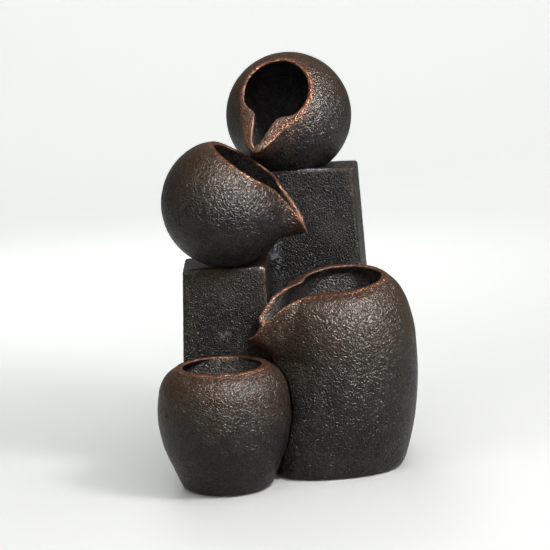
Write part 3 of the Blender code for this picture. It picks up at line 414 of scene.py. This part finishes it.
# ---- pillars: the CAD solids remeshed finely and given a cast face ----
def pillar(name, source, planes, mat, seed):
    """Remeshes a CAD pillar and displaces it. planes gives each point's depth under every outer face."""
    helper = add_object(name, NODES[source].data.copy())
    remesh = helper.modifiers.new("remesh", "REMESH")
    remesh.mode = "VOXEL"
    remesh.voxel_size = VOXEL
    graph = bpy.context.evaluated_depsgraph_get()
    mesh = bpy.data.meshes.new_from_object(helper.evaluated_get(graph))
    bpy.data.objects.remove(helper)
    count = len(mesh.vertices)
    points = np.empty(count * 3)
    normals = np.empty(count * 3, np.float32)
    mesh.vertices.foreach_get("co", points)
    mesh.vertex_normals.foreach_get("vector", normals)
    points, normals = points.reshape(-1, 3) - SHIFT, normals.reshape(-1, 3)
    depths = np.sort(np.abs(planes(points)), axis=0)
    outside = depths[0] < FACE_DEPTH
    edge = np.where(outside, np.exp(-((depths[1] / EDGE_WEAR) ** 2)), 0.0)
    lifted = grain(points, GRAIN, seed)
    door = (points[:, 1] > TALL_Y[1] - DOOR_DEPTH) & (points[:, 2] < DOOR_TOP)
    door &= np.abs(points[:, 0] - PUMP_X) < DOOR_HALF
    depth = np.where(outside & ~door, PILLAR_RELIEF, DOOR_RELIEF)
    points = points + normals * (depth * lifted)[:, None]
    points[:, 2] = np.maximum(points[:, 2], STAND)
    mesh.vertices.foreach_set("co", (points + SHIFT).ravel())
    layers = {
        "wear": edge,
        "lipward": 0.5 * edge,
        # inner faces take the same painted light and shade as the bowls' insides
        "bowl": np.where(outside, 0.0, 1.0),
        "deep": np.where(outside, 0.0, 1.0),
        "relief": lifted,
        "rise": (points[:, 2] - STAND) / (points[:, 2].max() - STAND),
    }
    return cast_object(name, mesh, layers, mat)


def tall_planes(p):
    x, y, z = p.T
    left, right = tall_side(z, y, False), tall_side(z, y, True)
    return np.stack([TALL_TOP - z, y - tall_front(z), TALL_Y[1] - y, x - left, right - x])


def short_planes(p):
    x, y, z = p.T
    left, right = short_side(z, y, False), short_side(z, y, True)
    return np.stack([SHORT_TOP - z, y - short_front(z), x - left, right - x])


# ---- materials ----
class Graph:
    """A small helper that writes one material's nodes."""

    def __init__(self, name):
        self.material = bpy.data.materials.new(name)
        self.material.use_nodes = True
        self.nodes = self.material.node_tree.nodes
        self.links = self.material.node_tree.links
        self.shader = self.nodes["Principled BSDF"]
        self.place = self.add("ShaderNodeTexCoord").outputs["Object"]

    def add(self, kind, **settings):
        made = self.nodes.new(kind)
        for key, value in settings.items():
            setattr(made, key, value)
        return made

    def set(self, socket, value):
        if isinstance(value, bpy.types.NodeSocket):
            self.links.new(value, socket)
        elif isinstance(value, tuple) and len(value) == 3 and socket.type == "RGBA":
            socket.default_value = (*value, 1.0)
        else:
            socket.default_value = value

    def math(self, operation, a, b=0.0, clamp=False):
        made = self.add("ShaderNodeMath", operation=operation, use_clamp=clamp)
        self.set(made.inputs[0], a)
        self.set(made.inputs[1], b)
        return made.outputs[0]

    def noise(self, size, detail=2.0, rough=0.5, distortion=0.0):
        made = self.add("ShaderNodeTexNoise")
        self.set(made.inputs["Vector"], self.place)
        made.inputs["Scale"].default_value = 1.0 / size
        made.inputs["Detail"].default_value = detail
        made.inputs["Roughness"].default_value = rough
        made.inputs["Distortion"].default_value = distortion
        return made.outputs["Fac"]

    def worms(self, size):
        """Narrow ridges that wander, 0 to 1."""
        wander = self.add("ShaderNodeTexNoise")
        self.set(wander.inputs["Vector"], self.place)
        wander.inputs["Scale"].default_value = 0.8 / size
        wander.inputs["Detail"].default_value = 0.0
        shift = self.add("ShaderNodeVectorMath", operation="SCALE")
        self.set(shift.inputs[0], wander.outputs["Color"])
        shift.inputs["Scale"].default_value = 0.5 * size
        moved = self.add("ShaderNodeVectorMath", operation="ADD")
        self.set(moved.inputs[0], self.place)
        self.set(moved.inputs[1], shift.outputs[0])
        made = self.add("ShaderNodeTexNoise")
        self.set(made.inputs["Vector"], moved.outputs[0])
        made.inputs["Scale"].default_value = 1.0 / size
        made.inputs["Detail"].default_value = 0.6
        away = self.math("ABSOLUTE", self.math("SUBTRACT", made.outputs["Fac"], 0.5))
        return self.math("SUBTRACT", 1.0, self.math("MULTIPLY", away, 5.5), clamp=True)

    def edges(self, radius):
        """1 along sharp outer edges, 0 on flats."""
        bevel = self.add("ShaderNodeBevel", samples=4)
        bevel.inputs["Radius"].default_value = radius
        dot = self.add("ShaderNodeVectorMath", operation="DOT_PRODUCT")
        self.set(dot.inputs[0], bevel.outputs["Normal"])
        self.set(dot.inputs[1], self.add("ShaderNodeNewGeometry").outputs["Normal"])
        return self.spread(self.math("SUBTRACT", 1.0, dot.outputs["Value"]), 0.01, 0.14)

    def cells(self, size):
        """Distance from the middle of the nearest cell."""
        made = self.add("ShaderNodeTexVoronoi", feature="F1")
        self.set(made.inputs["Vector"], self.place)
        made.inputs["Scale"].default_value = 1.0 / size
        return made.outputs["Distance"]

    def layer(self, name):
        return self.add("ShaderNodeAttribute", attribute_name=name).outputs["Fac"]

    def spread(self, value, low, high, to_low=0.0, to_high=1.0):
        made = self.add("ShaderNodeMapRange", interpolation_type="SMOOTHSTEP")
        self.set(made.inputs["Value"], value)
        for key, number in (("From Min", low), ("From Max", high), ("To Min", to_low), ("To Max", to_high)):
            made.inputs[key].default_value = number
        return made.outputs["Result"]

    def mix(self, share, a, b):
        made = self.add("ShaderNodeMix", data_type="RGBA")
        self.set(made.inputs["Factor"], share)
        self.set(made.inputs[6], a)
        self.set(made.inputs[7], b)
        return made.outputs[2]

    def bump(self, height, distance, strength=1.0, normal=None):
        made = self.add("ShaderNodeBump")
        made.inputs["Distance"].default_value = distance
        made.inputs["Strength"].default_value = strength
        self.set(made.inputs["Height"], height)
        if normal:
            self.set(made.inputs["Normal"], normal)
        return made.outputs["Normal"]

    def near(self, centre, size):
        """1 at a place in the design's coordinates, falling to 0 at size from it, each way."""
        moved = self.add("ShaderNodeVectorMath", operation="SUBTRACT")
        self.set(moved.inputs[0], self.place)
        moved.inputs[1].default_value = tuple(np.array(centre) + SHIFT)
        scaled = self.add("ShaderNodeVectorMath", operation="DIVIDE")
        self.set(scaled.inputs[0], moved.outputs[0])
        scaled.inputs[1].default_value = size
        length = self.add("ShaderNodeVectorMath", operation="LENGTH")
        self.set(length.inputs[0], scaled.outputs[0])
        return self.spread(length.outputs["Value"], 0.2, 1.0, 1.0, 0.0)

    def finish(self, colour, rough, normal, metal=0.0, level=0.5):
        self.set(self.shader.inputs["Base Color"], colour)
        self.set(self.shader.inputs["Roughness"], rough)
        self.set(self.shader.inputs["Normal"], normal)
        self.set(self.shader.inputs["Metallic"], metal)
        self.shader.inputs["Specular IOR Level"].default_value = level
        return self.material


CHARCOAL, BROWN, COPPER = (0.0120, 0.0110, 0.0096), (0.050, 0.0270, 0.0115), (0.190, 0.070, 0.027)
# inside the bowls: a tone brightened to paint in light that doesn't reach there, and pale dust with painted
# highlights on the grain's peaks
PAINTED_DEEP_BOWL_LIGHT, DUST_AND_PAINTED_HIGHLIGHT, RESIDUE = (0.0420, 0.0400, 0.0440), (0.190, 0.160, 0.148), (0.36, 0.40, 0.48)
DULL_EDGE = (0.060, 0.044, 0.034)
OLIVE, TIP, VALLEY = (0.040, 0.035, 0.025), (0.105, 0.084, 0.066), (0.0055, 0.0052, 0.0052)
BLUSH, BOWL_WALL = (0.125, 0.050, 0.028), (0.026, 0.023, 0.022)
# the tall pillar's base is darker than the short pillar's: painted shade over the same bronze paint
TALL_PAINT_AND_PAINTED_SHADE, SHORT_PAINT = (0.0075, 0.0071, 0.0070), (0.0110, 0.0100, 0.0088)


def bronze(name, base, brown_from, brown_to, fine, edge_tint, edge_share, gloss, marks_and_painted_highlight=()):
    """Bronze paint over a ridged casting: dark in the valleys, brown above, copper where edges have worn."""
    g = Graph(name)
    ridges = g.math("MULTIPLY", g.worms(0.0046 * fine), 0.45)
    crust = g.math("ADD", ridges, g.noise(0.0042 * fine, 2.5, 0.6))
    speckle = g.noise(0.0016, 3.0, 0.65)
    patches = g.noise(0.030, 4.0, 0.6, 0.3)
    peaks = g.math("ADD", g.math("MULTIPLY", g.layer("relief"), 0.30), g.math("MULTIPLY", crust, 0.62))
    high = g.math("ADD", g.layer("rise"), g.math("MULTIPLY", g.math("SUBTRACT", patches, 0.5), 0.55))
    brown = g.spread(high, brown_from, brown_to)
    colour = g.mix(g.math("MULTIPLY", brown, 0.85), base, BROWN)
    olive = g.math("MULTIPLY", g.spread(g.noise(0.055, 3.0, 0.6), 0.48, 0.66), 0.45)
    colour = g.mix(olive, colour, OLIVE)
    tips = g.math("MULTIPLY", g.spread(peaks, 0.50, 0.95), g.spread(speckle, 0.42, 0.64))
    colour = g.mix(g.math("MULTIPLY", tips, 0.55), colour, TIP)
    colour = g.mix(g.math("MULTIPLY", g.spread(peaks, 0.34, 0.05), 0.8), colour, VALLEY)
    near_lip = g.math("MULTIPLY", g.layer("lipward"), g.spread(g.noise(0.011, 3.0, 0.7), 0.42, 0.62))
    colour = g.mix(g.math("MULTIPLY", near_lip, 0.60), colour, BLUSH)
    worn = g.math("MULTIPLY", g.layer("wear"), g.spread(g.noise(0.010, 3.0, 0.6), 0.26, 0.58), clamp=True)
    worn = g.math("MULTIPLY", worn, edge_share)
    # the bowls' insides are painted light and shade: a lit wall near the rim, a brightened tone deeper down,
    # and pale dust with painted highlights on the grain's peaks
    bowl = g.spread(g.layer("bowl"), 0.6, 1.0)
    lit_wall = g.mix(g.spread(peaks, 0.25, 0.9), BOWL_WALL, DUST_AND_PAINTED_HIGHLIGHT)
    deep_dust_and_painted_light = g.mix(g.math("MULTIPLY", g.spread(peaks, 0.45, 0.95), 0.45), PAINTED_DEEP_BOWL_LIGHT, DUST_AND_PAINTED_HIGHLIGHT)
    walls = g.mix(g.layer("deep"), lit_wall, deep_dust_and_painted_light)
    colour = g.mix(g.math("MULTIPLY", bowl, 0.95), colour, walls)
    colour = g.mix(worn, colour, edge_tint)
    # marks laid at given places: real residue and scuffs, and on the short pillar a painted highlight down
    # its left edge
    for centre, size, share, tint in marks_and_painted_highlight:
        spots = g.math("MULTIPLY", g.near(centre, size), g.spread(g.noise(0.009, 4.0, 0.7), 0.46, 0.60))
        colour = g.mix(g.math("MULTIPLY", spots, share), colour, tint)
    rough = g.math("ADD", g.math("MULTIPLY", g.noise(0.014, 4.0, 0.7), 0.42), 0.11)
    rough = g.math("ADD", rough, g.math("MULTIPLY", bowl, 0.12))
    metal = g.math("MULTIPLY", g.math("ADD", worn, 0.10, clamp=True), 0.45)
    normal = g.bump(crust, 0.0017 * fine)
    normal = g.bump(speckle, 0.0006, 0.8, normal)
    return g.finish(colour, rough, normal, metal, gloss)


def moulded(name, colour, rough, fleck=0.25, grain_size=0.0009, depth=0.00006, level=0.5):
    """Moulded plastic or rubber: a fine texture, faint clouding and duller patches."""
    g = Graph(name)
    cloud = g.noise(0.022, 4.0, 0.6)
    speck = g.noise(grain_size, 2.0)
    lighter = tuple(min(1.0, c * 1.7 + 0.006) for c in colour)
    tone = g.mix(g.math("MULTIPLY", g.spread(cloud, 0.35, 0.7), fleck), colour, lighter)
    rubbed = g.math("MULTIPLY", g.edges(0.0006), g.spread(g.noise(0.004, 3.0), 0.40, 0.60))
    tone = g.mix(g.math("MULTIPLY", rubbed, 0.5), tone, tuple(min(1.0, 2.6 * c + 0.02) for c in colour))
    roughness = g.math("ADD", g.math("MULTIPLY", cloud, 0.25), rough - 0.12)
    return g.finish(tone, roughness, g.bump(speck, depth), 0.0, level)


def steel():
    g = Graph("stainless_steel")
    stretch = g.add("ShaderNodeMapping")
    stretch.inputs["Scale"].default_value = (900.0, 60.0, 900.0)
    g.set(stretch.inputs["Vector"], g.place)
    lines = g.add("ShaderNodeTexNoise")
    g.set(lines.inputs["Vector"], stretch.outputs["Vector"])
    lines.inputs["Scale"].default_value = 1.0
    stain = g.noise(0.010, 3.0, 0.6)
    colour = g.mix(g.spread(stain, 0.45, 0.75), (0.62, 0.61, 0.60), (0.42, 0.38, 0.34))
    colour = g.mix(g.math("MULTIPLY", g.edges(0.0004), 0.6), colour, (0.85, 0.84, 0.83))
    rough = g.math("ADD", g.math("MULTIPLY", lines.outputs["Fac"], 0.18), 0.18)
    return g.finish(colour, rough, g.bump(lines.outputs["Fac"], 0.00004), 1.0)


def foam():
    g = Graph("filter_foam")
    cells = g.cells(0.0021)
    tone = g.mix(g.spread(cells, 0.15, 0.7), (0.010, 0.012, 0.016), (0.060, 0.070, 0.085))
    silt = g.math("ADD", g.edges(0.003), g.spread(g.noise(0.02), 0.5, 0.7), clamp=True)
    tone = g.mix(g.math("MULTIPLY", silt, 0.4), tone, (0.11, 0.10, 0.075))
    rough = g.math("ADD", g.math("MULTIPLY", g.noise(0.01), 0.1), 0.88)
    return g.finish(tone, rough, g.bump(cells, 0.0008), 0.0, 0.2)


RESIDUES = (  # limescale on the tall pillar: place, reach each way, share, colour
    ((0.000, 0.090, 0.352), (0.016, 0.030, 0.040), 0.85, RESIDUE),
    ((0.004, 0.088, 0.322), (0.013, 0.030, 0.022), 0.60, (0.20, 0.24, 0.36)),
    ((0.060, 0.095, 0.494), (0.060, 0.020, 0.006), 0.50, RESIDUE),
)
SCUFFS_AND_PAINTED_HIGHLIGHT = (  # scuffs and worn paint on the short pillar, and a painted highlight down its left edge, in the same terms
    ((-0.090, -0.040, 0.238), (0.020, 0.020, 0.009), 0.65, (0.24, 0.26, 0.22)),
    ((-0.140, -0.034, 0.347), (0.020, 0.030, 0.008), 0.40, RESIDUE),
    ((-0.020, -0.030, 0.345), (0.010, 0.020, 0.008), 0.55, (0.45, 0.40, 0.36)),
    # a painted highlight: a copper strip down the short pillar's left edge
    ((-0.162, -0.036, 0.210), (0.010, 0.012, 0.230), 0.75, (0.24, 0.10, 0.055)),
)
VESSEL = bronze("bronze_vessel", CHARCOAL, 0.35, 0.95, 1.0, COPPER, 0.9, 0.23)
# the tall pillar's darker base paints in shade
TALL_FACE = bronze("bronze_tall_pillar", TALL_PAINT_AND_PAINTED_SHADE, 0.95, 1.35, 0.7, DULL_EDGE, 0.55, 0.12, RESIDUES)
SHORT_FACE = bronze("bronze_short_pillar", SHORT_PAINT, 0.72, 1.25, 0.7, DULL_EDGE, 0.55, 0.16, SCUFFS_AND_PAINTED_HIGHLIGHT)
PLASTIC = moulded("moulded_black_plastic", (0.022, 0.023, 0.025), 0.42)
RUBBER = moulded("moulded_black_rubber", (0.017, 0.017, 0.017), 0.80, 0.35, 0.0006, 0.00010, 0.3)
VINYL = moulded("smoke_vinyl_hose", (0.085, 0.090, 0.095), 0.30, 0.30, 0.0020, 0.00005)
CERAMIC = moulded("ground_ceramic", (0.78, 0.77, 0.73), 0.25, 0.15, 0.0005, 0.00002)
STEEL = steel()
FOAM = foam()

FINISH = {
    "bronze_cast_stone": VESSEL,
    "bronze_cast_pillar": TALL_FACE,
    "black_plastic": PLASTIC,
    "black_rubber": RUBBER,
    "smoke_vinyl": VINYL,
    "stainless_steel": STEEL,
    "white_ceramic": CERAMIC,
    "sponge_foam": FOAM,
}
for part in frame["record"]["subparts"]:
    node = NODES[part["node"]]
    node.data.materials.clear()
    node.data.materials.append(FINISH[part["material_slot"]])

# ---- the castings ----
castings = {
    "top_orb": orb(
        "top_orb_cast", TOP_ORB, TOP_ORB_R, (-0.33, -0.37, -0.87), (-0.21, -0.86, 0.46),
        (TOP_RIM, TOP_INNER), TOP_END, TALL_TOP + GAP, VESSEL, 1.9,
    ),
    "left_orb": orb(
        "left_orb_cast", LEFT_ORB, LEFT_ORB_R, (0.766, -0.03, -0.640), (0.640, -0.06, 0.766),
        (LEFT_RIM, LEFT_INNER), LEFT_END, SHORT_TOP + GAP, VESSEL, 5.3, tall_front,
    ),
    "tall_jar": tall_jar(VESSEL),
    "small_jar": small_jar(VESSEL),
    "tall_pillar": pillar("tall_pillar_cast", "tall_pillar", tall_planes, TALL_FACE, 2.2),
    "short_pillar": pillar("short_pillar_cast", "short_pillar", short_planes, SHORT_FACE, 4.4),
}
for node, piece in castings.items():
    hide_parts(node)


# ---- stage, lights and camera ----
MIDDLE = (0.0, 0.0, 0.40)
WARM, AMBER, CREAM = (1.0, 0.97, 0.96), (1.0, 0.95, 0.88), (1.0, 0.98, 0.96)
GLOW, GLOW_REACH, GLOW_STRENGTH = (0.985, 1.0, 0.985), 3.6, 0.65
AMBIENT, SKY = 0.17, 0.90  # the world's strength, as it lights and as the camera sees it


def glow_far(g):
    """Keeps the paper pale where the lights don't reach. Only the camera sees it, so it lights no piece."""
    away = g.add("ShaderNodeVectorMath", operation="LENGTH")
    g.set(away.inputs[0], g.add("ShaderNodeNewGeometry").outputs["Position"])
    ramp = g.add("ShaderNodeMapRange")
    g.set(ramp.inputs["Value"], away.outputs["Value"])
    ramp.inputs["From Max"].default_value = GLOW_REACH
    ramp.inputs["To Max"].default_value = GLOW_STRENGTH
    seen = g.add("ShaderNodeLightPath").outputs["Is Camera Ray"]
    g.set(g.shader.inputs["Emission Color"], GLOW)
    g.set(g.shader.inputs["Emission Strength"], g.math("MULTIPLY", ramp.outputs["Result"], seen))


def sweep(depth=3.5, bend=0.9, height=5.0, width=14.0, front=-14.0):
    """A pale floor that curves up into a backdrop."""
    bows = np.linspace(0.05, math.pi / 2, 24)
    profile = [(front, 0.0), (depth, 0.0)]
    profile += [(depth + bend * math.sin(a), bend * (1 - math.cos(a))) for a in bows]
    profile.append((depth + bend, height))
    verts = [(x, y, z) for x in (-width, width) for y, z in profile]
    n = len(profile)
    faces = [(k, k + 1, n + k + 1, n + k) for k in range(n - 1)]
    mesh = bpy.data.meshes.new("studio_sweep")
    mesh.from_pydata(verts, [], faces)
    mesh.shade_smooth()
    g = Graph("studio_paper")
    tone = g.mix(g.noise(0.5, 2.0), (0.84, 0.86, 0.84), (0.86, 0.875, 0.86))
    mesh.materials.append(g.finish(tone, 0.85, g.bump(g.noise(0.002), 0.00005), 0.0, 0.2))
    glow_far(g)
    add_object("studio_sweep", mesh)


def softbox(name, place, aim, size, power, colour=(1, 1, 1), diffuse=True, glossy=True):
    light = bpy.data.lights.new(name, "AREA")
    light.shape = "RECTANGLE"
    light.size, light.size_y = size
    light.energy = power
    light.color = colour
    obj = add_object(name, light)
    obj.location = place
    obj.visible_diffuse, obj.visible_glossy = diffuse, glossy
    obj.rotation_euler = (Vector(aim) - Vector(place)).to_track_quat("-Z", "Y").to_euler()


def make_world():
    world = bpy.data.worlds.new("studio")
    world.use_nodes = True
    nodes, links = world.node_tree.nodes, world.node_tree.links
    background = nodes["Background"]
    background.inputs["Color"].default_value = (1.0, 1.0, 1.0, 1.0)
    strength = nodes.new("ShaderNodeMapRange")
    strength.inputs["To Min"].default_value = AMBIENT
    strength.inputs["To Max"].default_value = SKY
    links.new(nodes.new("ShaderNodeLightPath").outputs["Is Camera Ray"], strength.inputs["Value"])
    links.new(strength.outputs["Result"], background.inputs["Strength"])
    bpy.context.scene.world = world


sweep()
softbox("key", (1.05, -0.75, 1.40), MIDDLE, (0.45, 0.45), 15.0, (1.0, 0.97, 0.95))
softbox("sparkle", (0.95, -1.05, 1.55), MIDDLE, (0.45, 0.45), 200.0, WARM, diffuse=False)
softbox("front", (0.2, -2.0, 1.4), (0.0, 0.0, 0.45), (1.0, 1.0), 6.0, glossy=False)
softbox("sparkle_left", (-0.9, -1.2, 1.7), MIDDLE, (0.5, 0.5), 22.0, AMBER, diffuse=False)
softbox("fill", (-1.5, -1.5, 1.3), (0.0, 0.0, 0.35), (0.8, 0.8), 6.0, CREAM, glossy=False)
softbox("overhead", (0.0, -0.3, 2.4), (0.0, 0.0, 0.0), (2.0, 2.0), 15.5, glossy=False)
softbox("behind", (-0.6, 2.2, 1.9), (0.0, 0.1, 0.30), (1.4, 1.0), 30.0, glossy=False)
make_world()
bpy.context.scene.view_settings.view_transform = "Standard"

AZIMUTH, PITCH, ROLL = (math.radians(a) for a in (3.5, 9.5, 2.85))
DISTANCE, HEIGHT, LENS, SENSOR = 2.964, 0.825, 117.8, 36.0


def make_camera():
    data = bpy.data.cameras.new("camera")
    data.sensor_width, data.lens = SENSOR, LENS
    camera = add_object("camera", data)
    level = math.cos(PITCH)
    forward = Vector((-math.sin(AZIMUTH) * level, math.cos(AZIMUTH) * level, -math.sin(PITCH)))
    right = Vector((math.cos(AZIMUTH), math.sin(AZIMUTH), 0))
    up = right.cross(forward)
    across = right * math.cos(ROLL) - up * math.sin(ROLL)
    upward = right * math.sin(ROLL) + up * math.cos(ROLL)
    turn = Matrix((across, upward, -forward)).transposed().to_4x4()
    place = Vector((DISTANCE * math.sin(AZIMUTH), -DISTANCE * math.cos(AZIMUTH), HEIGHT)) + Vector(SHIFT)
    camera.matrix_world = Matrix.Translation(place) @ turn
    bpy.context.scene.camera = camera


make_camera()
